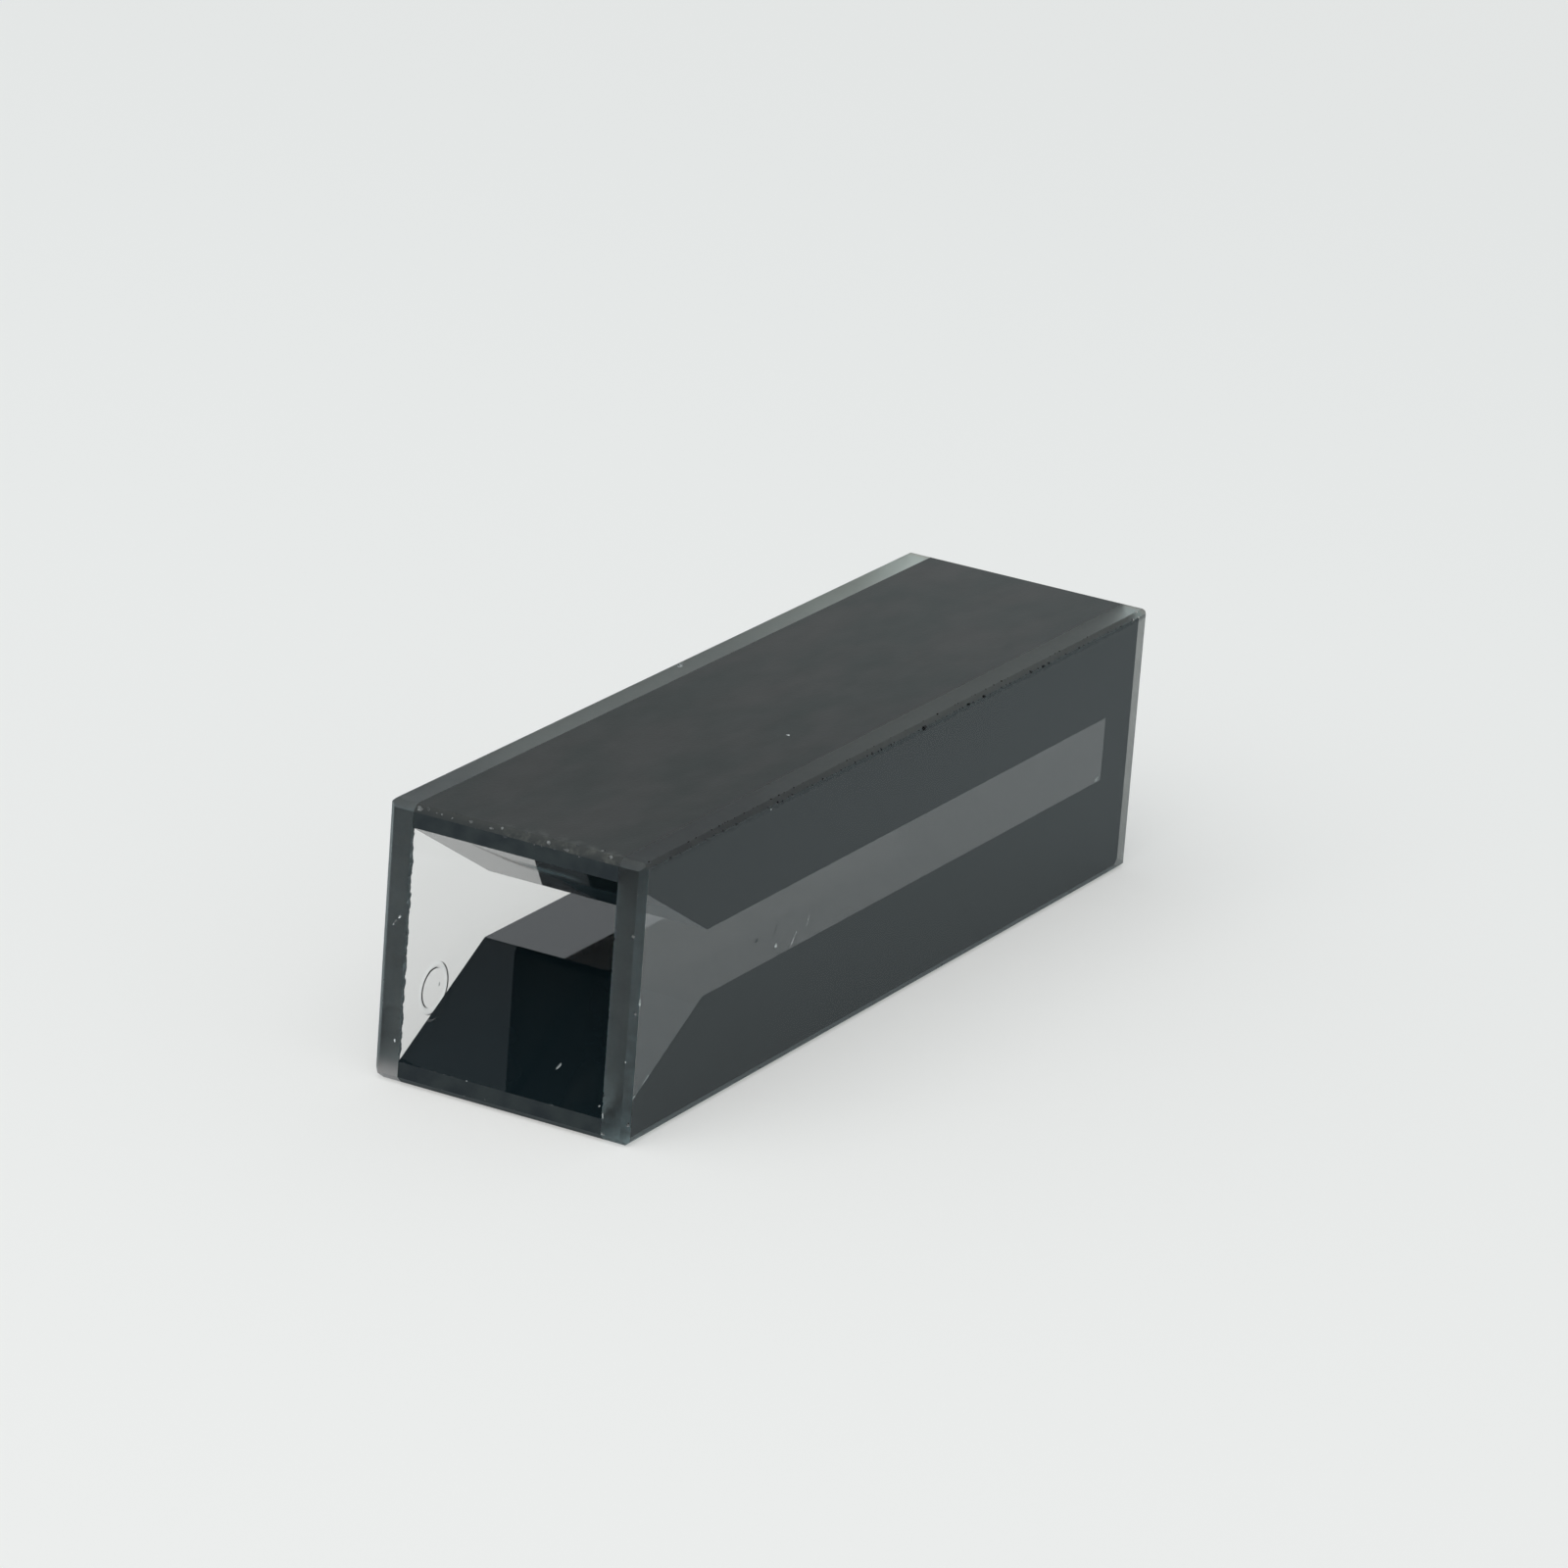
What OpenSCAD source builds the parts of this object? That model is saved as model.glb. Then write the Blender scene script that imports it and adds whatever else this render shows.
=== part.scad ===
// Semi-micro optical cuvette, lying on one of its black sides.
// X runs along the cell from the open mouth (-X) to the closed base (+X),
// Y runs across the two clear windows, along the light path, and Z is up.
// The origin is the middle of the side that the cell rests on.

/* [Cell] */
// Outside length from the mouth to the base
cell_length = 45; // [38:0.5:60]
// Outside width across the two windows
cell_width = 12.5; // [8:0.25:20]
// Outside height across the two black blocks
cell_height = 12.5; // [9:0.25:20]

/* [Windows] */
// Thickness of each clear window plate
window_thick = 1.25; // [0.8:0.05:2]

/* [Chamber] */
// Height of the narrow sample channel between the black blocks
channel_height = 3; // [1:0.25:5]
// Thickness of the black block that closes the channel at the base
base_thick = 2.5; // [1.5:0.1:6]

/* [Funnel mouth] */
// Length over which the mouth narrows down to the channel
funnel_length = 6.5; // [4:0.25:12]
// Thickness left on each black block at the rim of the mouth
rim_wall = 1; // [0.6:0.05:1.6]

/* [Ground bevels] */
// Bevel round the outside of the rim
rim_bevel = 0.3; // [0.05:0.05:0.5]
// Bevel round the outside of the base
base_bevel = 0.25; // [0.05:0.05:0.5]
// Bevel along the long outside edges
long_bevel = 0.2; // [0.05:0.05:0.5]
// Wider bevel along the rear long edge that the cell rests on
foot_bevel = 0.4; // [0.05:0.05:0.6]

/* [Hidden] */

clear_glass = [0.80, 0.86, 0.86, 0.35];
black_glass = [0.06, 0.065, 0.07];

mouth_x = -cell_length / 2;
base_x = cell_length / 2;
front_y = -cell_width / 2;
rear_y = cell_width / 2;

// Distance between the inner faces of the windows: the light path
path_length = cell_width - 2 * window_thick;
inner_front_y = front_y + window_thick;

// Full thickness of a black block beside the channel
wall_thick = (cell_height - channel_height) / 2;
funnel_end_x = mouth_x + funnel_length;

// Rectangle from low to high with its four corners cut off at 45 degrees.
// The cuts are given in the order low-low, high-low, high-high, low-high.
function cut_corners(low, high, cuts) = [
    [low.x, low.y + cuts[0]],
    [low.x + cuts[0], low.y],
    [high.x - cuts[1], low.y],
    [high.x, low.y + cuts[1]],
    [high.x, high.y - cuts[2]],
    [high.x - cuts[2], high.y],
    [low.x + cuts[3], high.y],
    [low.x, high.y - cuts[3]]
];

// Extrudes a profile drawn in X and Z along Y, from y onwards
module extrude_y(y, depth) {
    translate([0, y + depth, 0])
        rotate([90, 0, 0])
            linear_extrude(height = depth)
                children();
}

// Extrudes a profile drawn in Y and Z along X, from x onwards
module extrude_x(x, depth) {
    translate([x, 0, 0])
        rotate([90, 0, 90])
            linear_extrude(height = depth)
                children();
}

// The outside of the finished cell. The plates are fused first and the outer
// edges are ground together, so every piece is cut by this one shape.
module ground_outside() {
    intersection() {
        linear_extrude(height = cell_height)
            polygon(cut_corners([mouth_x, front_y], [base_x, rear_y],
                                [rim_bevel, base_bevel, base_bevel, rim_bevel]));
        extrude_y(front_y, cell_width)
            polygon(cut_corners([mouth_x, 0], [base_x, cell_height],
                                [rim_bevel, base_bevel, base_bevel, rim_bevel]));
        extrude_x(mouth_x, cell_length)
            polygon(cut_corners([front_y, 0], [rear_y, cell_height],
                                [long_bevel, foot_bevel, long_bevel, long_bevel]));
    }
}

// Side view of one black block: thin at the rim, then a straight slope down
// to the channel, then full thickness to the base
module wall_profile() {
    polygon([
        [mouth_x, 0],
        [base_x, 0],
        [base_x, wall_thick],
        [funnel_end_x, wall_thick],
        [mouth_x, rim_wall]
    ]);
}

// Clear plate over the whole length and height of the cell
module window(y) {
    intersection() {
        ground_outside();
        translate([mouth_x, y, 0])
            cube([cell_length, window_thick, cell_height]);
    }
}

module front_window() {
    color(clear_glass)
        window(front_y);
}

module rear_window() {
    color(clear_glass)
        window(rear_y - window_thick);
}

// Black block between the windows on the side that the cell rests on
module lower_wall() {
    color(black_glass)
        intersection() {
            ground_outside();
            extrude_y(inner_front_y, path_length)
                wall_profile();
        }
}

// The same block turned over, on the upper side
module upper_wall() {
    color(black_glass)
        intersection() {
            ground_outside();
            extrude_y(inner_front_y, path_length)
                translate([0, cell_height])
                    mirror([0, 1])
                        wall_profile();
        }
}

// Small black block that closes the end of the channel
module base_block() {
    color(black_glass)
        intersection() {
            ground_outside();
            translate([base_x - base_thick, inner_front_y, wall_thick])
                cube([base_thick, path_length, channel_height]);
        }
}

front_window();
rear_window();
lower_wall();
upper_wall();
base_block();
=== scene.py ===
import math
import random

import bmesh
import bpy
from mathutils import Matrix, Vector


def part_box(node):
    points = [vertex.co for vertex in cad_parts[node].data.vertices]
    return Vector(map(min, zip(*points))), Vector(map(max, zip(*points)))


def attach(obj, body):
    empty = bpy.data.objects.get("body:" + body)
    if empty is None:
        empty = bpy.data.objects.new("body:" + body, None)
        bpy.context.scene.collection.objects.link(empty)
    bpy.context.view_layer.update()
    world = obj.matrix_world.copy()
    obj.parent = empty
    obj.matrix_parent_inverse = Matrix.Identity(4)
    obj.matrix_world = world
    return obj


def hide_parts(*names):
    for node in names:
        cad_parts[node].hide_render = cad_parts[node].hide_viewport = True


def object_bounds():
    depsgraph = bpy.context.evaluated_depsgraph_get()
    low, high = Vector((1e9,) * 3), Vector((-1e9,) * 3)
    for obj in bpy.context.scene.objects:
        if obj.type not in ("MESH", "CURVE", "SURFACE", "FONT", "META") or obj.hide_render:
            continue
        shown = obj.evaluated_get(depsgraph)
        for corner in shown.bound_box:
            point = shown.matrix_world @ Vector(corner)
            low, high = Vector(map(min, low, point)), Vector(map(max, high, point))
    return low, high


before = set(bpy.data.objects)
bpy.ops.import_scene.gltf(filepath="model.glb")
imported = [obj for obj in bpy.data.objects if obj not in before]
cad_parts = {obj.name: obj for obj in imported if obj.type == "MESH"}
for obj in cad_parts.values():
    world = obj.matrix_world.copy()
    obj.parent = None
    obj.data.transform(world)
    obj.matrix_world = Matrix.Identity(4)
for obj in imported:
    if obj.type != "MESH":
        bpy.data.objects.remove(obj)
cad_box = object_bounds()
bpy.context.scene.view_settings.view_transform = "Standard"


# ---------------------------------------------------------------- black blocks
# Three blocks of opaque black glass, fused between the windows: one on each side
# of the chamber, sloping from a thin rim down to the channel, and a small one
# that closes the channel. They are polished inside and ground satin outside.

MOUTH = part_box("lower_wall")[0].x
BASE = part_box("lower_wall")[1].x
INNER_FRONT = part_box("lower_wall")[0].y
INNER_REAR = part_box("lower_wall")[1].y
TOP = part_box("upper_wall")[1].z
CHANNEL_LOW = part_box("base_block")[0].z
CHANNEL_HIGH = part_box("base_block")[1].z
CHANNEL_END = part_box("base_block")[0].x
RIM_WALL, RIM_BEVEL = 0.001, 0.0003


class Value:
    """One socket of a finish. Python maths on it adds Math nodes."""

    def __init__(self, nodes, socket):
        self.nodes, self.socket = nodes, socket

    def __add__(self, other):
        return self.nodes.maths("ADD", self, other)

    def __sub__(self, other):
        return self.nodes.maths("SUBTRACT", self, other)

    def __rsub__(self, other):
        return self.nodes.maths("SUBTRACT", other, self)

    def __mul__(self, other):
        return self.nodes.maths("MULTIPLY", self, other)

    __radd__, __rmul__ = __add__, __mul__


class Nodes:
    """The nodes of one material, or of the surroundings. set() gives values to
    the shader that comes with them, and cover() lays others over it."""

    def __init__(self, owner, output):
        owner.use_nodes = True
        self.owner, self.tree = owner, owner.node_tree
        self.surface = self.tree.nodes[output].inputs["Surface"]
        self.shader = self.surface.links[0].from_node

    def put(self, socket, value):
        if isinstance(value, Value):
            self.tree.links.new(value.socket, socket)
        else:
            socket.default_value = value

    def node(self, kind, settings, sockets, *outputs):
        """Adds a node and gives its first output, or the outputs named."""
        made = self.tree.nodes.new(kind)
        for name, value in settings.items():
            if name == "stops":
                for element, (at, colour) in zip(made.color_ramp.elements, value):
                    element.position, element.color = at, colour
            else:
                setattr(made, name, value)
        for name, value in sockets.items():
            self.put(made.inputs[name], value)
        given = [Value(self, made.outputs[name]) for name in outputs or [0]]
        return given if len(given) > 1 else given[0]

    def maths(self, operation, *values):
        return self.node("ShaderNodeMath", {"operation": operation}, dict(enumerate(values)))

    def set(self, **sockets):
        for name, value in sockets.items():
            self.put(self.shader.inputs[name.replace("_", " ")], value)
        return self.owner

    def cover(self, share, shader):
        """Lays another shader over what there is, by a share that may vary."""
        below = Value(self, self.surface.links[0].from_socket)
        mixed = self.node("ShaderNodeMixShader", {}, {0: share, 1: below, 2: shader})
        self.put(self.surface, mixed)
        return self.owner


class Finish(Nodes):
    """A material for one finish. Its patterns keep their place on the piece."""

    def __init__(self, name):
        super().__init__(bpy.data.materials.new(name), "Material Output")
        self.place = self.node("ShaderNodeTexCoord", {}, {}, "Object")

    def axis(self, *names):
        return self.node("ShaderNodeSeparateXYZ", {}, {"Vector": self.place}, *names)

    def noise(self, scale, detail=2.0, stretch=(1, 1, 1)):
        where = self.node("ShaderNodeMapping", {}, {"Vector": self.place, "Scale": stretch})
        return self.node("ShaderNodeTexNoise", {},
                         {"Vector": where, "Scale": scale, "Detail": detail})

    def ramp(self, value, low, high, start=0.0, end=1.0):
        """Goes smoothly from start to end as the value goes from low to high."""
        return self.node("ShaderNodeMapRange", {"interpolation_type": "SMOOTHSTEP"},
                         {"Value": value, "From Min": low, "From Max": high,
                          "To Min": start, "To Max": end})

    def blend(self, share, first, second):
        """A colour between two, by a share that may vary."""
        factor, colour_a, colour_b, result = 0, 6, 7, 2
        return self.node("ShaderNodeMix", {"data_type": "RGBA"},
                         {factor: share, colour_a: first, colour_b: second}, result)

    def bump(self, height, depth):
        return self.node("ShaderNodeBump", {},
                         {"Height": height, "Distance": depth, "Strength": 1.0})

    def layer(self, colour, roughness, gloss=0.5):
        """A second opaque shader, for cover()."""
        return self.node("ShaderNodeBsdfPrincipled", {},
                         {"Base Color": colour, "Roughness": roughness,
                          "Specular IOR Level": gloss})


def black_polished():
    """Polished, but a little dull on the face that closes the channel above."""
    f = Finish("black glass polished")
    f.set(Base_Color=f.blend(f.noise(300.0), (0.003, 0.007, 0.009, 1), (0.006, 0.011, 0.013, 1)),
          Roughness=0.01 + f.noise(900.0) * 0.03, IOR=1.52)
    above = f.ramp(f.axis("Z"), CHANNEL_HIGH - 0.0003, CHANNEL_HIGH - 0.0001)
    return f.cover(above * 0.5, f.layer((0.002, 0.006, 0.009, 1), 0.8, 0.0))


def black_stained():
    """The polished slope on the upper side. A pale film dried on it near the
    mouth, and a dull smear runs from there towards the front window."""
    f = Finish("black glass stained")
    x, y = f.axis("X", "Y")
    cloud = f.noise(300.0)
    f.set(Base_Color=f.blend(cloud, (0.006, 0.011, 0.013, 1), (0.011, 0.019, 0.021, 1)),
          Roughness=0.01 + cloud * 0.02, IOR=1.48)
    smear = f.ramp(x, -0.0202, -0.0188) * f.ramp(y, 0.0003, -0.0005)
    f.cover(smear * (0.55 + f.noise(900.0, 3.0) * 0.5),
            f.layer((0.014, 0.026, 0.031, 1), 0.7, 0.1))
    # The film is a short band across the slope that bends away to the rear
    bend = f.maths("MAXIMUM", y - 0.0008, 0.0)
    from_middle = f.maths("ABSOLUTE", x + 0.0203 + bend * bend * 1000.0)
    width = f.ramp(from_middle + f.noise(700.0, 3.0) * 0.0008, 0.0014, 0.0004)
    length = f.ramp(f.maths("ABSOLUTE", y - 0.0002), 0.0026, 0.0012)
    tone = f.blend(f.ramp(y, 0.0012, 0.0001),
                   (0.150, 0.142, 0.125, 1), (0.105, 0.150, 0.158, 1))
    return f.cover(width * length * (0.30 + f.noise(1500.0, 3.0) * 0.6), f.layer(tone, 0.7, 0.1))


def bruises(f):
    """Scuffed patches along the edge over the mouth, more of them towards
    the front window, fading out over the face behind the edge."""
    x, y, z = f.axis("X", "Y", "Z")
    patches = f.ramp(f.noise(1700.0, 5.0) * 0.7 + f.noise(5200.0, 3.0) * 0.3, 0.44, 0.68)
    to_front = f.ramp(y, 0.0022, -0.0008, 0.10, 1.0)
    to_mouth = f.ramp(x, MOUTH + 0.0013, MOUTH + 0.0002)
    to_top = f.ramp(z, TOP - 0.002, TOP - 0.001)
    return to_front * to_mouth * patches * to_top


def black_ground():
    """Satin, ground along the cell, with painted shade making it darker and warmer towards the
    mouth.
    """
    f = Finish("black glass ground satin")
    drawn_out = (0.45, 1, 1)
    haze = f.ramp(f.noise(420.0, 5.0, drawn_out), 0.30, 0.70)
    mottle = f.noise(1100.0, 3.0, drawn_out)
    grain = f.noise(9000.0)
    # Painted shade: the colour goes darker and warmer towards the mouth
    tone = f.blend(f.ramp(f.axis("X"), -0.016, 0.028),
                   f.blend(haze, (0.0072, 0.0074, 0.0050, 1), (0.0052, 0.0094, 0.0070, 1)),
                   f.blend(haze, (0.029, 0.029, 0.026, 1), (0.025, 0.031, 0.028, 1)))
    return f.set(Base_Color=f.blend(bruises(f), tone, (0.044, 0.047, 0.041, 1)),
                 Roughness=0.47 + haze * 0.05 + mottle * 0.08, IOR=1.5,
                 Specular_IOR_Level=0.45, Normal=f.bump(grain, 0.000006))


def black_rim():
    """The narrow ground face round the mouth, smudged by handling."""
    f = Finish("black glass rim")
    smudge = f.ramp(f.noise(800.0, 5.0), 0.34, 0.66)
    grain = f.noise(9000.0)
    return f.set(Base_Color=f.blend(smudge, (0.003, 0.007, 0.010, 1), (0.013, 0.019, 0.020, 1)),
                 Roughness=0.43 + smudge * 0.10, IOR=1.5,
                 Specular_IOR_Level=0.37, Normal=f.bump(grain, 0.000008))


def black_bruised():
    """The small bevel over the mouth, bruised and paler towards one window, with painted shading
    from dark at its lower edge to grey at its top.
    """
    f = Finish("black glass bruised bevel")
    bruised = bruises(f)
    # Painted shading: dark at the bevel's lower edge, grey at its top, as on a rounded edge
    tone = f.blend(f.ramp(f.axis("Z"), TOP - RIM_BEVEL, TOP),
                   (0.005, 0.009, 0.009, 1), (0.018, 0.021, 0.019, 1))
    return f.set(Base_Color=f.blend(bruised, tone, (0.056, 0.059, 0.052, 1)),
                 Roughness=0.48 + bruised * 0.2, IOR=1.5,
                 Specular_IOR_Level=0.37, Normal=f.bump(bruised, 0.00001))


def black_bond():
    """The joint with a window, which shows through it without any gloss."""
    f = Finish("fused joint")
    tone = f.blend(f.noise(300.0), (0.002, 0.004, 0.005, 1), (0.003, 0.006, 0.007, 1))
    return f.set(Base_Color=tone, Roughness=1.0, Specular_IOR_Level=0.0)


def black_broken():
    """The inside of a chip."""
    f = Finish("black glass broken")
    tone = f.blend(f.noise(2500.0), (0.005, 0.008, 0.010, 1), (0.030, 0.034, 0.036, 1))
    return f.set(Base_Color=tone, Roughness=0.22, IOR=1.5)


def crushed(name, dark, pale):
    """The white powdery inside of a chip or scratch, in black or clear glass. The pale one also
    makes a few chips into painted glints.
    """
    f = Finish(name)
    speck = f.ramp(f.noise(6000.0, 3.0), 0.3, 0.7)
    return f.set(Base_Color=f.blend(speck, dark, pale), Roughness=0.5, IOR=1.46)


POLISHED, GROUND, RIM, BOND, BROKEN, CRUSHED_AND_GLINT, BRUISED, STAINED, GRAZED = range(9)
BLACK = [black_polished(), black_ground(), black_rim(), black_bond(), black_broken(),
         crushed("crushed glass and painted glints", (0.08, 0.09, 0.09, 1), (0.66, 0.69, 0.68, 1)),
         black_bruised(), black_stained(),
         crushed("grazed glass", (0.035, 0.038, 0.038, 1), (0.21, 0.22, 0.215, 1))]


def black_finish(middle, normal):
    """Which finish a flat face of a black block has, by its middle and normal."""
    close = 0.0005
    if abs(normal.y) > 0.9:
        return BOND
    if middle.x < MOUTH + RIM_BEVEL and normal.x < -0.5:
        return BRUISED if normal.z > 0.5 else RIM
    if middle.z < close or middle.z > TOP - close or middle.x > BASE - close:
        return GROUND
    return STAINED if middle.z > CHANNEL_HIGH + 0.0001 else POLISHED


def whole(node):
    """A CAD plate as a bmesh with its flat faces in one piece."""
    bm = bmesh.new()
    bm.from_mesh(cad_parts[node].data)
    bmesh.ops.remove_doubles(bm, verts=bm.verts, dist=1e-7)
    bmesh.ops.dissolve_limit(bm, angle_limit=0.02, verts=bm.verts, edges=bm.edges)
    bmesh.ops.recalc_face_normals(bm, faces=bm.faces)
    return bm


def placed(name, data):
    """Puts an object into the scene. A bmesh becomes its mesh."""
    if isinstance(data, bmesh.types.BMesh):
        bm, data = data, bpy.data.meshes.new(name)
        bm.to_mesh(data)
        bm.free()
    made = bpy.data.objects.new(name, data)
    bpy.context.scene.collection.objects.link(made)
    return made


def glass_piece(node, bm, finishes):
    """The bmesh as a piece that stands for the node."""
    piece = placed(node + "_glass", bm)
    for finish in finishes:
        piece.data.materials.append(finish)
    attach(piece, "root")
    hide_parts(node)
    return piece


class Chips:
    """The small shells of glass that broke out of one plate. Each is a jagged
    pebble, and all of them are cut out of the plate together."""

    # How far its corners are moved, and how far off others stay, in radii
    JAGGED, ROOM = 0.3, 1.25

    def __init__(self, seed):
        self.chance, self.bm, self.taken = random.Random(seed), bmesh.new(), []

    def one(self, at, radius, along=(1, 0, 0), stretch=1.0, finish=BROKEN):
        """A chip that is stretched along a direction, where there is room."""
        at, reach = Vector(at), radius * max(stretch, 1.0) * self.ROOM
        if any((at - other).length < reach + room for other, room in self.taken):
            return
        self.taken.append((at, reach))
        turn = Vector((1, 0, 0)).rotation_difference(Vector(along)).to_matrix().to_4x4()
        roll = Matrix.Rotation(self.chance.uniform(0, 6.28), 4, "X")
        lengthened = Matrix.Diagonal((stretch, 1, 1, 1))
        made = bmesh.ops.create_icosphere(
            self.bm, subdivisions=1, radius=radius,
            matrix=Matrix.Translation(at) @ turn @ roll @ lengthened)
        for v in made["verts"]:
            v.co += Vector([self.chance.uniform(-self.JAGGED, self.JAGGED) * radius
                            for _ in range(3)])
        for face in {face for v in made["verts"] for face in v.link_faces}:
            face.material_index = finish

    def row(self, ends, count, largest, out, pale_share=0.0, spread=0.0, pale=CRUSHED_AND_GLINT):
        """Chips at uneven places along an edge, most of them small, with their
        middles a little outside it."""
        start, end, out = Vector(ends[0]), Vector(ends[1]), Vector(out).normalized()
        side = out.cross(end - start).normalized()
        for _ in range(count):
            radius = largest * (0.30 + 0.70 * self.chance.random() ** 2)
            at = start.lerp(end, self.chance.random()) + side * spread * self.chance.uniform(-1, 1)
            at += out * radius * self.chance.uniform(0.25, 0.75)
            finish = pale if self.chance.random() < pale_share else BROKEN
            self.one(at, radius, end - start, 1.0 + self.chance.random(), finish)

    def ring(self, centre, radius, width, depth):
        """A round shallow groove about a line along Y, open towards +Y. It is
        cut by a thick ring whose own section has the radius curve."""
        centre, curve = Vector(centre), (width * width / 4 + depth * depth) / (2 * depth)
        section = Matrix.Translation(centre + Vector((radius, curve - depth, 0)))
        made = bmesh.ops.create_circle(self.bm, segments=64, radius=curve, matrix=section)
        edges = dict.fromkeys(edge for v in made["verts"] for edge in v.link_edges)
        before = set(self.bm.faces)
        bmesh.ops.spin(self.bm, geom=[*made["verts"], *edges], axis=(0, 1, 0), cent=centre,
                       steps=72, angle=math.tau, use_merge=True)
        fresh = [face for face in self.bm.faces if face not in before]
        bmesh.ops.recalc_face_normals(self.bm, faces=fresh)
        for face in fresh:
            face.material_index = BROKEN
        self.sort()

    def sort(self):
        """Puts the edges and faces in the order of their corners, because a
        spin leaves them in another order each time."""
        self.bm.verts.index_update()
        corners = len(self.bm.verts)

        def place(part):
            numbers = sorted(v.index for v in part.verts)
            return sum(number * corners ** digit for digit, number in enumerate(numbers))

        self.bm.edges.sort(key=place)
        self.bm.faces.sort(key=place)

    def cut_from(self, piece):
        tool = placed("chips", self.bm)
        cut = piece.modifiers.new("chips", "BOOLEAN")
        cut.operation, cut.solver, cut.object = "DIFFERENCE", "EXACT", tool
        depsgraph = bpy.context.evaluated_depsgraph_get()
        chipped = bpy.data.meshes.new_from_object(piece.evaluated_get(depsgraph))
        piece.modifiers.clear()
        piece.data = chipped
        bpy.data.objects.remove(tool)


def block(node, chips):
    bm = whole(node)
    for face in bm.faces:
        face.material_index = black_finish(face.calc_center_median(), face.normal)
    chips.cut_from(glass_piece(node, bm, BLACK))


def across(x, z, end=0.0048):
    """The ends of a row of chips across the mouth, just short of the windows."""
    return (x, end, z), (x, -end, z)


# Each chip over the mouth: how far in from the mouth, where across it and how
# far below the top it is, then its radius, direction, stretch and finish
upper_chips = Chips(11)
for inwards, y, below, *chip in (
        (0.00012, 0.00480, 0.00010, 0.00013, (0.3, 1, 0.3), 1.2, GRAZED),
        (0.00018, 0.00440, 0.00008, 0.00008, (0.6, 0.6, 0.4), 1.9, GRAZED),
        (0.00012, 0.00396, 0.00012, 0.00007, (0.4, 0.2, 1), 1.3, GRAZED),
        (0.00012, 0.00370, 0.00012, 0.00006, (0.4, 0.2, 1), 1.3, GRAZED),
        (0.00008, 0.00318, 0.00016, 0.00006, (0, 1, 0), 1.1, CRUSHED_AND_GLINT),
        (0.00016, 0.00232, 0.00009, 0.00008, (0.3, 0.8, 1), 1.6, GRAZED),
        (0.00010, 0.00130, 0.00014, 0.00009, (0, 1, 0.2), 1.9, GRAZED),
        (0.00018, 0.00080, 0.00006, 0.00007, (0.8, 0.2, 0), 1.5, GRAZED),
        (0.00012, -0.00150, 0.00012, 0.00010, (0.3, 1, 0.4), 1.5, GRAZED),
        (0.00005, -0.00240, 0.00021, 0.00008, (0, 1, 0.3), 2.0, GRAZED),
        (0.00020, -0.00445, 0.00005, 0.00012, (0.7, 0.5, -0.3), 1.5, GRAZED),
        (0.00050, -0.00395, -0.00003, 0.00010, (0.7, -0.5, 0), 1.6, GRAZED)):
    upper_chips.one((MOUTH + inwards, y, TOP - below), *chip)
upper_chips.one((-0.00411, -0.00248, TOP), 0.00008, (0, 1, 0), 1.3, CRUSHED_AND_GLINT)
upper_chips.row(across(MOUTH, TOP - RIM_BEVEL), 34, 0.00010, (-1, 0, 0.4), spread=0.00004)
upper_chips.row(across(MOUTH + RIM_BEVEL, TOP), 26, 0.00009, (-0.4, 0, 1), spread=0.00005)
upper_chips.row(across(MOUTH, TOP - RIM_WALL), 24, 0.00009, (-1, 0, -0.6))
block("upper_wall", upper_chips)

# Two of these rows go up the first part of the slope, beside the windows. Most of their chips are
# pale: painted glints along the slope's edges.
lower_chips = Chips(12)
lower_chips.one((-0.02198, -0.00455, 0.00132), 0.00006, (1, 0, 0.6), 1.3, CRUSHED_AND_GLINT)
lower_chips.row(((MOUTH + 0.0001, INNER_REAR, 0.00107), (MOUTH + 0.0014, INNER_REAR, 0.00181)),
                9, 0.00010, (-0.5, 0.5, 0.87), 0.8)
lower_chips.row(((MOUTH + 0.0001, INNER_FRONT, 0.00107), (MOUTH + 0.0008, INNER_FRONT, 0.00146)),
                5, 0.00007, (-0.5, -0.5, 0.87), 0.9)
lower_chips.one((-0.02075, -0.00178, 0.00201), 0.00007, (0.8, -0.1, 0.6), 3.2, CRUSHED_AND_GLINT)
lower_chips.one((MOUTH, -0.00485, 0.00120), 0.00006, (0, 0, 1), 1.0, GRAZED)
lower_chips.row(((MOUTH, 0.0030, RIM_BEVEL), (MOUTH, -0.0049, RIM_BEVEL)),
                26, 0.00009, (-1, 0, -0.4), 0.6, 0.00012, GRAZED)
lower_chips.row(across(MOUTH, RIM_WALL), 20, 0.00008, (-1, 0, 0.6), 0.1)
block("lower_wall", lower_chips)

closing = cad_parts["base_block"].data
closing.materials.clear()
for finish in BLACK:
    closing.materials.append(finish)
for polygon in closing.polygons:
    polygon.material_index = black_finish(polygon.center, polygon.normal)


# -------------------------------------------------------------- clear windows
# Two plates of clear fused glass over the whole length and height, which the
# light beam passes through. Their large faces are polished; the edges and
# bevels were ground once the plates were fused to the black blocks.

FRONT, REAR = cad_box[0][1], cad_box[1][1]
FUNNEL_END = MOUTH + 0.0065
LONG_BEVEL, FOOT_BEVEL = 0.0002, 0.0004
FRAYED_BAND = 0.0006
SCUFF_LOW, SCUFF_FULL = 0.01214, 0.01230
CLEAR, TINT = (0.992, 1, 0.995, 1), (0.75, 0.764, 0.772, 1)


def polished(name):
    """Clear polished glass, for wear to be laid over."""
    f = Finish(name)
    f.set(Base_Color=f.blend(f.noise(150.0), (1, 1, 1, 1), CLEAR), Roughness=0.0, IOR=1.46,
          Transmission_Weight=1.0, Specular_Tint=TINT)
    return f


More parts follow.
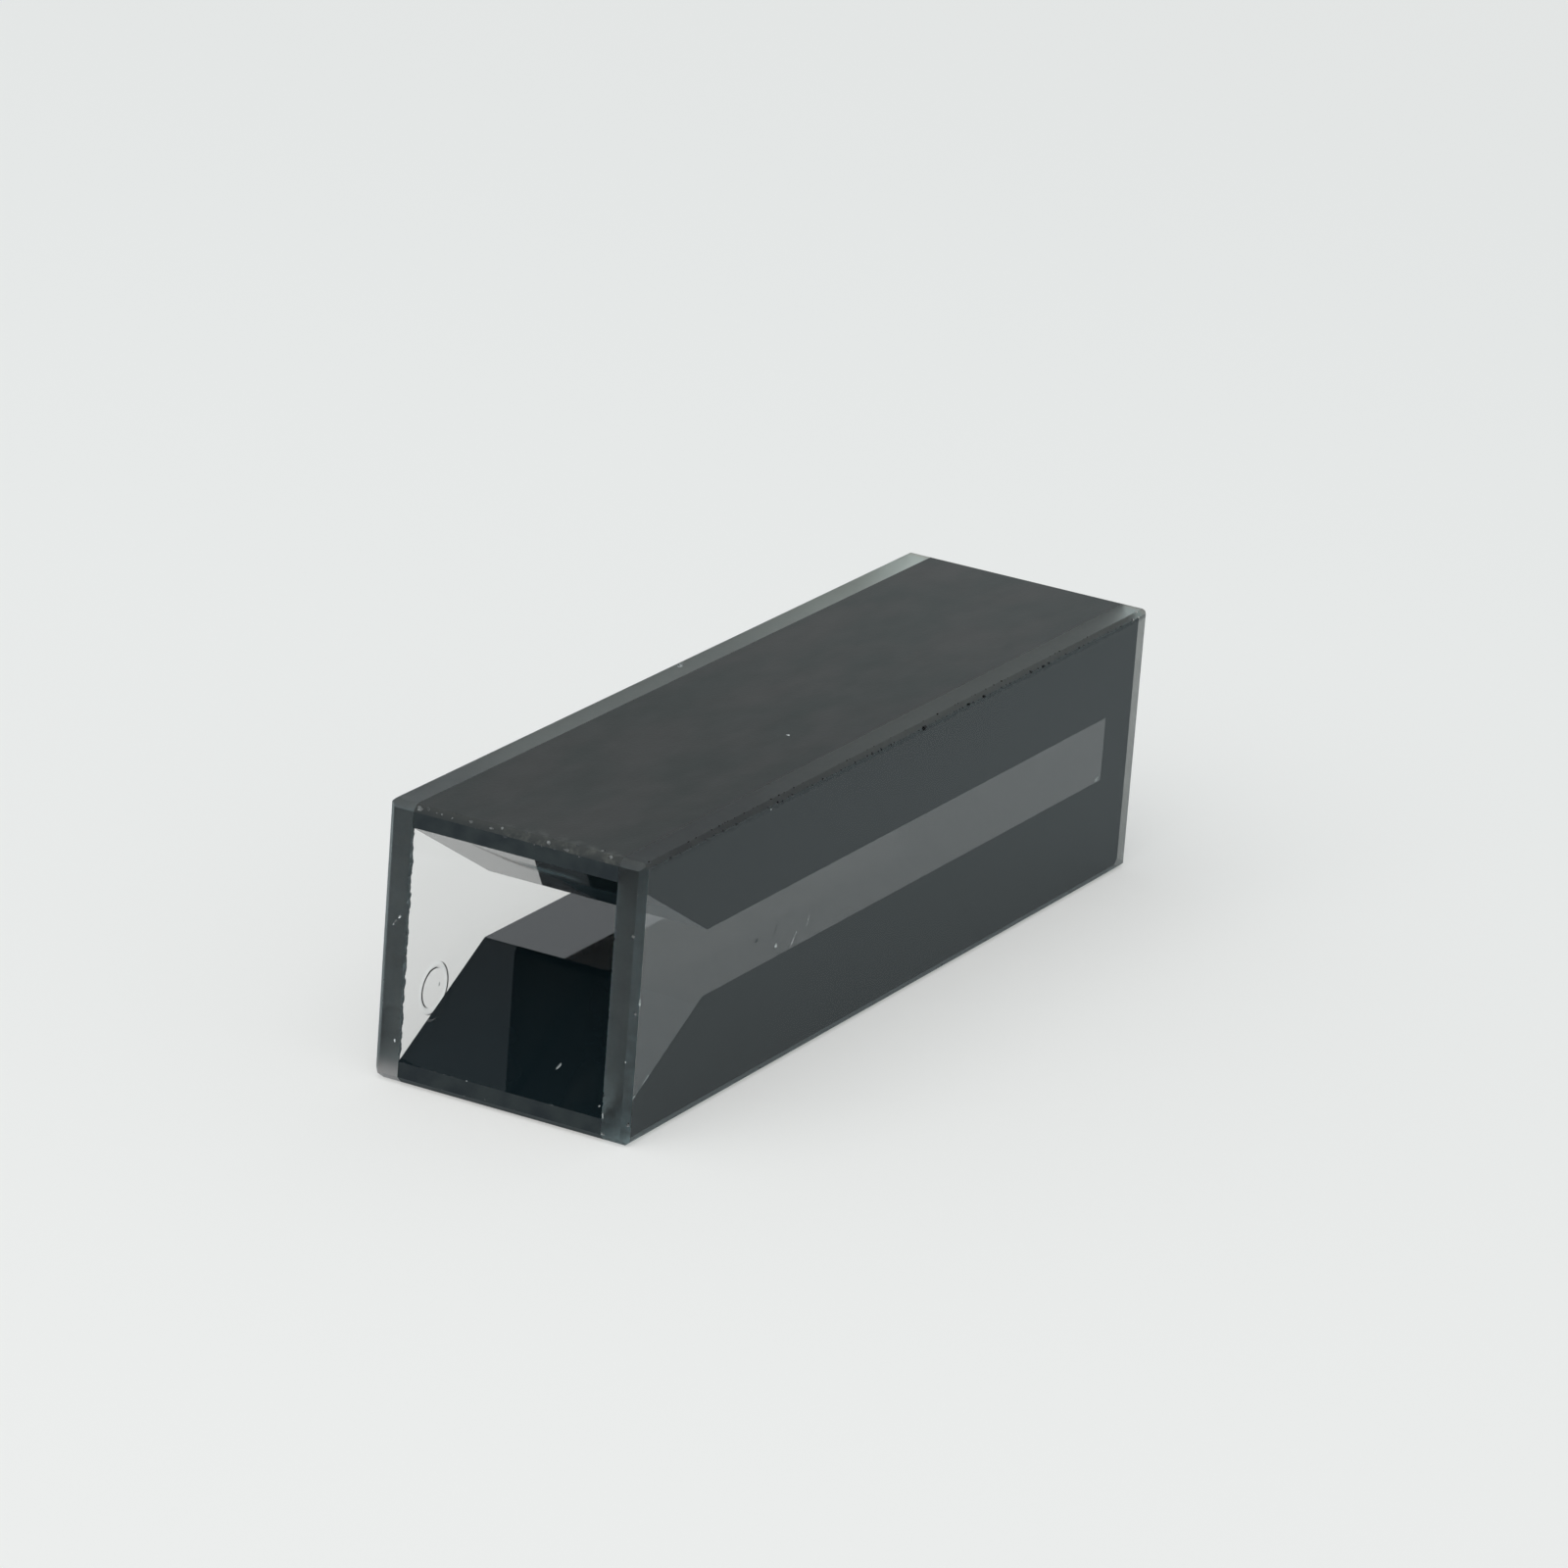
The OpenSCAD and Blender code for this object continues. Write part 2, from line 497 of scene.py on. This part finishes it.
def clear_polished():
    """Polished glass, scuffed dark close to the long upper edges."""
    f = polished("clear glass polished")
    x, z = f.axis("X", "Z")
    scuffed = f.ramp(z + f.noise(1500.0, 4.0) * 0.0002, SCUFF_LOW, SCUFF_FULL)
    from_mouth = f.ramp(x, -0.018, -0.006, 0.4, 1.0)
    return f.cover(scuffed * from_mouth * 0.55, f.layer((0.020, 0.030, 0.031, 1), 0.6))


def clear_frayed():
    """Polished glass with the dark ragged edge that it has at the mouth."""
    f = polished("clear glass frayed edge")
    ragged = f.axis("X") + f.noise(2400.0, 4.0) * 0.00045
    return f.cover(f.ramp(ragged, MOUTH + 0.00042, MOUTH + 0.00036),
                   f.layer((0.100, 0.125, 0.130, 1), 0.5))


def clear_ground(name, dark, pale, rough, clear, dust, patchy=False):
    """Ground glass, cloudy and more or less clear, with chalky dust left in it
    by the grinding. On a patchy edge the dust lies in patches. The extra pale
    layer low on the front window and on the rear window's top edge is painted light."""
    f = Finish(name)
    x, y, z = f.axis("X", "Y", "Z")
    cloud, speck, grain = f.noise(900.0, 4.0), f.noise(5000.0), f.noise(12000.0)
    rear, front = f.ramp(y, -0.001, 0.001), f.ramp(y, 0.001, -0.001)
    top = f.ramp(z, TOP - 0.0003, TOP - 0.0001)

    # Paler at the base end. At the mouth, painted shade darkens the rear window low down and the
    # front window towards its top, and painted light makes the rear window paler at its foot
    tone = f.blend(cloud * 0.7 + speck * 0.3, dark, pale)
    tone = f.blend(f.ramp(x, BASE - 0.0008, BASE - 0.0003), tone, (0.62, 0.63, 0.59, 1))
    mouth = f.ramp(x, MOUTH + 0.0006, MOUTH + 0.0003)
    painted_shade = f.ramp(z, 0.0032, 0.0019) * rear + f.ramp(z, 0.004, 0.009) * front * 0.31
    tone = f.blend(mouth * painted_shade, tone, (0.18, 0.23, 0.24, 1))
    # Painted light: the rear window's foot is made paler, standing in for light coming up through
    # the glass from the floor
    painted_foot_light = f.ramp(z, 0.0012, 0.0002) * rear
    f.set(Base_Color=f.blend(painted_foot_light * 0.88, tone, (1.00, 0.95, 0.94, 1)),
          Roughness=rough + cloud * 0.14 + painted_foot_light * 0.22, IOR=1.46,
          Transmission_Weight=clear, Normal=f.bump(grain, 0.000006))

    if patchy:
        patches = f.ramp(f.noise(900.0, 6.0), 0.40, 0.66) * 0.5
        to_ends = f.ramp(f.maths("ABSOLUTE", x + 0.004), 0.0150, 0.0205)
        left = dust * f.maths("MAXIMUM", patches, to_ends) * f.ramp(z, 0.004, 0.008)
    else:
        # Painted light: more of the pale layer low on the front window, where light from the floor
        # comes through
        low = f.ramp(z, 0.0022, 0.0004) * front
        specks = f.ramp(f.noise(2600.0, 5.0), 0.42, 0.62) * 1.2 + 0.5
        left = specks * (rear * 0.006 + low * 0.035 + dust)
    # Painted light on the rear window's top edge, standing in for light from behind that comes up
    # through the ground edge; a fainter pale layer on the front window's top edge grows away from
    # the mouth
    rear_painted_light = f.ramp(x, -0.022, -0.010) * 0.11 + f.ramp(x, 0.002, 0.020) * 0.20
    top_edge_pale = top * (rear * rear_painted_light + front * f.ramp(x, -0.020, 0.002) * 0.065)
    chalk_and_painted_light = f.blend(top, (0.36, 0.52, 0.56, 1), (0.45, 0.48, 0.42, 1))
    return f.cover(f.maths("MAXIMUM", left, top_edge_pale), f.layer(chalk_and_painted_light, 0.9, 0.1))


def clear_broken():
    """The inside of a chip."""
    f = Finish("clear glass broken")
    return f.set(Base_Color=f.blend(f.noise(2500.0), (0.90, 0.95, 0.95, 1), (1, 1, 1, 1)),
                 Roughness=0.12, IOR=1.46, Transmission_Weight=1.0)


# In the order of the black finishes, so that POLISHED, GRAZED and the others
# hold here too, with LONG and FRAYED for the two that only black blocks have
LONG, FRAYED = BRUISED, STAINED
CLEAR_GLASS = [clear_polished(),
               clear_ground("clear glass ground", (0.43, 0.60, 0.64, 1), (0.85, 1, 1, 1),
                            rough=0.52, clear=0.995, dust=0.008),
               clear_ground("clear glass rim bevel", (0.30, 0.42, 0.45, 1), (0.85, 1, 1, 1),
                            rough=0.46, clear=0.97, dust=0.030),
               BLACK[BOND], clear_broken(), BLACK[CRUSHED_AND_GLINT],
               clear_ground("clear glass long bevel", (0.14, 0.25, 0.26, 1),
                            (0.66, 0.83, 0.83, 1), rough=0.36, clear=0.995, dust=0.06,
                            patchy=True),
               clear_frayed(), BLACK[GRAZED]]


def in_chamber(x, z):
    """True where the chamber is open between the two black blocks."""
    if x > CHANNEL_END:
        return False
    depth = min(1.0, (x - MOUTH) / (FUNNEL_END - MOUTH))
    wall = RIM_WALL + (CHANNEL_LOW - RIM_WALL) * depth
    return wall < z < TOP - wall


def clear_finish(middle, normal, inside):
    """Which finish a flat face of a window has, by its middle and normal."""
    if inside and not in_chamber(middle.x, middle.z):
        return BOND
    if inside:
        return FRAYED if middle.x < MOUTH + FRAYED_BAND else POLISHED
    if abs(normal.y) > 0.9:
        return POLISHED
    if max(map(abs, normal)) > 0.9:
        return GROUND
    return RIM if abs(normal.x) > 0.3 else LONG


def window(node, inner, facing, chips):
    """One plate: its face at y = inner, whose outside faces along facing, is
    divided along the outline of the chamber and fused to black outside it."""
    bm = whole(node)

    def inside(face):
        return face.normal.y * facing < -0.9 and abs(face.calc_center_median().y - inner) < 1e-6

    slope = Vector((RIM_WALL - CHANNEL_LOW, 0, FUNNEL_END - MOUTH)).normalized()
    for at, normal in (((0, 0, CHANNEL_LOW), (0, 0, 1)),
                       ((0, 0, CHANNEL_HIGH), (0, 0, 1)),
                       ((FUNNEL_END, 0, 0), (1, 0, 0)),
                       ((CHANNEL_END, 0, 0), (1, 0, 0)),
                       ((MOUTH + FRAYED_BAND, 0, 0), (1, 0, 0)),
                       ((MOUTH, 0, RIM_WALL), slope),
                       ((MOUTH, 0, TOP - RIM_WALL), (slope.x, 0, -slope.z))):
        faces = [f for f in bm.faces if inside(f)]
        edges = dict.fromkeys(e for f in faces for e in f.edges)
        verts = dict.fromkeys(v for f in faces for v in f.verts)
        bmesh.ops.bisect_plane(bm, geom=[*faces, *edges, *verts], plane_co=at,
                               plane_no=normal, dist=1e-8)
    for f in bm.faces:
        f.material_index = clear_finish(f.calc_center_median(), f.normal, inside(f))
    chips.cut_from(glass_piece(node, bm, CLEAR_GLASS))


def along(y, z, corner=0.0006):
    """The ends of a row of chips along the cell, just short of its corners."""
    return (MOUTH + corner, y, z), (BASE - corner, y, z)


def upright(x, y, corner=0.0006):
    """The ends of a row of chips up one side of the mouth."""
    return (x, y, corner), (x, y, TOP - corner)


# Flecks and two scratches on the large face, then flecks on the rim and its
# bevel: the place, radius, direction, stretch and finish of each
front_chips = Chips(21)
for chip in (((-0.01071, FRONT, 0.00562), 0.00010, (0.2, 0, 1), 1.3, CRUSHED_AND_GLINT),
             ((-0.00918, FRONT, 0.00552), 0.000030, (0.357, 0, 0.448), 15.0, CRUSHED_AND_GLINT),
             ((-0.00802, FRONT, 0.00601), 0.000024, (0.183, 0, 0.485), 13.0, CRUSHED_AND_GLINT),
             ((-0.01207, FRONT, 0.01216), 0.00006, (0, 0, 1), 1.0, CRUSHED_AND_GLINT),
             ((MOUTH + 0.00034, FRONT, 0.00640), 0.00007, (-0.15, 0, 1), 3.2, CRUSHED_AND_GLINT),
             ((MOUTH + 0.00020, FRONT + 0.00009, 0.00592), 0.00006, (0.2, 0, 1), 1.5, GRAZED),
             ((MOUTH, -0.00590, 0.00932), 0.00008, (0, 0.3, 1), 1.2, GRAZED),
             # A pale chip stretched up the inner edge near the bottom of the mouth: a painted
             # highlight line
             ((MOUTH, -0.00504, 0.00118), 0.00005, (0, 0.1, 1), 3.6, CRUSHED_AND_GLINT),
             ((MOUTH, -0.00510, 0.00036), 0.00008, (0, 1, 0.4), 1.4, CRUSHED_AND_GLINT),
             ((MOUTH + 0.00020, FRONT + 0.00008, 0.00098), 0.00008, (0, 0.3, 1), 1.3, GRAZED)):
    front_chips.one(*chip)
front_chips.row(along(FRONT, TOP - LONG_BEVEL), 220, 0.00013, (0, -1, 0.6), spread=0.00003)
front_chips.row(along(FRONT + LONG_BEVEL, TOP), 80, 0.00008, (0, -0.6, 1))
front_chips.row(along(FRONT, LONG_BEVEL), 90, 0.00010, (0, -1, -0.6))
front_chips.row(upright(MOUTH, INNER_FRONT, RIM_WALL + RIM_BEVEL), 50, 0.00012, (-1, 1, 0), 0.12)
front_chips.row(upright(MOUTH, FRONT + RIM_BEVEL), 4, 0.000045, (-1, -0.6, 0), 1.0)
front_chips.row(upright(MOUTH + RIM_BEVEL, FRONT), 5, 0.000045, (-0.6, -1, 0), 1.0)
# A pale chip in the far lower corner of the channel: a painted glint
front_chips.one((CHANNEL_END - 0.00035, INNER_FRONT, CHANNEL_LOW + 0.00014),
                0.00008, (0.97, 0, 0.25), 3.4, CRUSHED_AND_GLINT)
# Two thin pale streaks along the slope's edge at the joint, seen through the window: painted
# highlight lines
front_chips.one((-0.02145, INNER_FRONT, 0.00165), 0.00004, (0.866, 0, 0.5), 12.0, CRUSHED_AND_GLINT)
front_chips.one((-0.02030, INNER_FRONT, 0.00232), 0.00003, (0.866, 0, 0.5), 14.0, CRUSHED_AND_GLINT)
front_chips.row(((-0.010, FRONT, TOP - LONG_BEVEL), (0.015, FRONT, TOP - LONG_BEVEL)),
                90, 0.00017, (0, -1, 0.6), spread=0.00005)
window("front_window", INNER_FRONT, -1, front_chips)

rear_chips = Chips(22)
rear_chips.one((MOUTH, 0.00560, 0.00712), 0.00005, (0, -0.45, 0.9), 4.0, CRUSHED_AND_GLINT)
rear_chips.one((MOUTH, 0.00536, 0.00745), 0.00005, (0, -0.5, 0.87), 2.5, CRUSHED_AND_GLINT)
rear_chips.one((MOUTH, 0.00523, 0.00189), 0.00006, (0, 0, 1), 1.6, CRUSHED_AND_GLINT)
rear_chips.one((0.00090, 0.00585, TOP), 0.00016, (1, 0.3, 0), 2.4, CRUSHED_AND_GLINT)
rear_chips.row(upright(MOUTH, INNER_REAR, RIM_WALL + RIM_BEVEL), 90, 0.00018, (-1, -1, 0), 0.9,
               pale=FRAYED)
rear_chips.row(along(REAR, TOP - LONG_BEVEL), 130, 0.00012, (0, 1, 0.6))
rear_chips.row(along(REAR - LONG_BEVEL, TOP), 70, 0.00008, (0, 0.6, 1))
rear_chips.row(upright(MOUTH, REAR - RIM_BEVEL), 14, 0.00005, (-1, 0.6, 0))
rear_chips.row(along(REAR, FOOT_BEVEL), 80, 0.00010, (0, 1, -0.6))
rear_chips.one((-0.01868, REAR, 0.00325), 0.00005, (0.3, 0, 1), 2.0, CRUSHED_AND_GLINT)
rear_chips.ring((-0.01912, REAR, 0.0032), radius=0.00103, width=0.00032, depth=0.00003)
window("rear_window", INNER_REAR, 1, rear_chips)


# ------------------------------------------------------ floor, light and camera
# A plain pale sheet under the cell, a wide soft lamp above its open end, pale
# surroundings that are dimmer overhead, and the camera.

FAR_PALE, NEAR_PALE = (0.866, 0.865, 0.845, 1), (0.866, 0.858, 0.836, 1)
BACKDROP = (0.800, 0.810, 0.803, 1)
OWN_SHARE = 0.40
MIRRORED_PALE, MIRRORED_SHARE = (0.628, 0.703, 0.717, 1), 0.45
BELOW_CELL = 0.00003


def floor_finish():
    """A sheet that takes the light and shadow, and in part shows a plain colour
    of its own: only that far from the cell, and a cooler one where mirrored."""
    f = Finish("pale floor")
    x, y = f.axis("X", "Y")
    near = y * -0.474 - x * 0.880
    pale = f.blend(f.ramp(near, -0.12, 0.13), FAR_PALE, NEAR_PALE)
    seen, glossy, through = f.node("ShaderNodeLightPath", {}, {}, "Is Camera Ray",
                                   "Is Glossy Ray", "Is Transmission Ray")
    direct, mirrored = f.maths("MAXIMUM", seen, through), glossy * (1 - through)
    f.set(Base_Color=f.blend(mirrored, pale, MIRRORED_PALE), Roughness=0.9,
          Specular_IOR_Level=0.0)
    away = f.node("ShaderNodeVectorMath", {"operation": "LENGTH"}, {0: f.place}, "Value")
    far = f.ramp(away, 0.11, 0.40)
    own = f.blend(mirrored, f.blend(far, pale, BACKDROP), MIRRORED_PALE)
    glow = f.node("ShaderNodeEmission", {}, {"Color": own, "Strength": 1.0})
    return f.cover(direct * (far * (1 - OWN_SHARE) + OWN_SHARE) + mirrored * MIRRORED_SHARE, glow)


bm = bmesh.new()
bmesh.ops.create_grid(bm, x_segments=1, y_segments=1, size=3.0)
bmesh.ops.translate(bm, verts=bm.verts, vec=(0, 0, -BELOW_CELL))
floor = placed("floor", bm)
floor.data.materials.append(floor_finish())

HORIZON, OVERHEAD = (0.75, 0.79, 0.82, 1), (0.30, 0.345, 0.37, 1)
world = bpy.data.worlds.new("studio")
bpy.context.scene.world = world
studio = Nodes(world, "World Output")
direction = studio.node("ShaderNodeTexCoord", {}, {}, "Generated")
height = studio.node("ShaderNodeSeparateXYZ", {}, {"Vector": direction}, "Z")
studio.set(Color=studio.node("ShaderNodeValToRGB", {"stops": [(0.25, HORIZON), (0.80, OVERHEAD)]},
                             {"Fac": height}))
studio.cover(studio.node("ShaderNodeLightPath", {}, {}, "Is Camera Ray"),
             studio.node("ShaderNodeBackground", {}, {"Color": BACKDROP}))

key = bpy.data.lights.new("key", "AREA")
key.shape, key.size, key.energy = "SQUARE", 1.0, 4.7
lamp = placed("key", key)
lamp.location = (-0.4, 0.0, 0.6)
lamp.rotation_mode = "QUATERNION"
lamp.rotation_quaternion = (Vector((0, 0, 0)) - lamp.location).to_track_quat("-Z", "Y")

AZIMUTH, ELEVATION, ROLL = math.radians(-61.659), math.radians(19.2793), math.radians(4.4013)
DISTANCE, ASIDE, ABOVE = 0.36348, 0.0003907, 0.0021740
MIDDLE = Vector((0, 0, 0.00625))
back = Vector((math.sin(AZIMUTH) * math.cos(ELEVATION), -math.cos(AZIMUTH) * math.cos(ELEVATION),
               math.sin(ELEVATION)))
level = Vector((math.cos(AZIMUTH), math.sin(AZIMUTH), 0))
upwards = back.cross(level)
right = level * math.cos(ROLL) + upwards * math.sin(ROLL)
up = upwards * math.cos(ROLL) - level * math.sin(ROLL)
lens = bpy.data.cameras.new("camera")
lens.sensor_width, lens.lens = 36.0, 190.08
lens.clip_start, lens.clip_end = 0.01, 20.0
camera = placed("camera", lens)
camera.matrix_world = Matrix((right, up, back)).transposed().to_4x4()
camera.location = MIDDLE + right * ASIDE + up * ABOVE + back * DISTANCE
bpy.context.scene.camera = camera
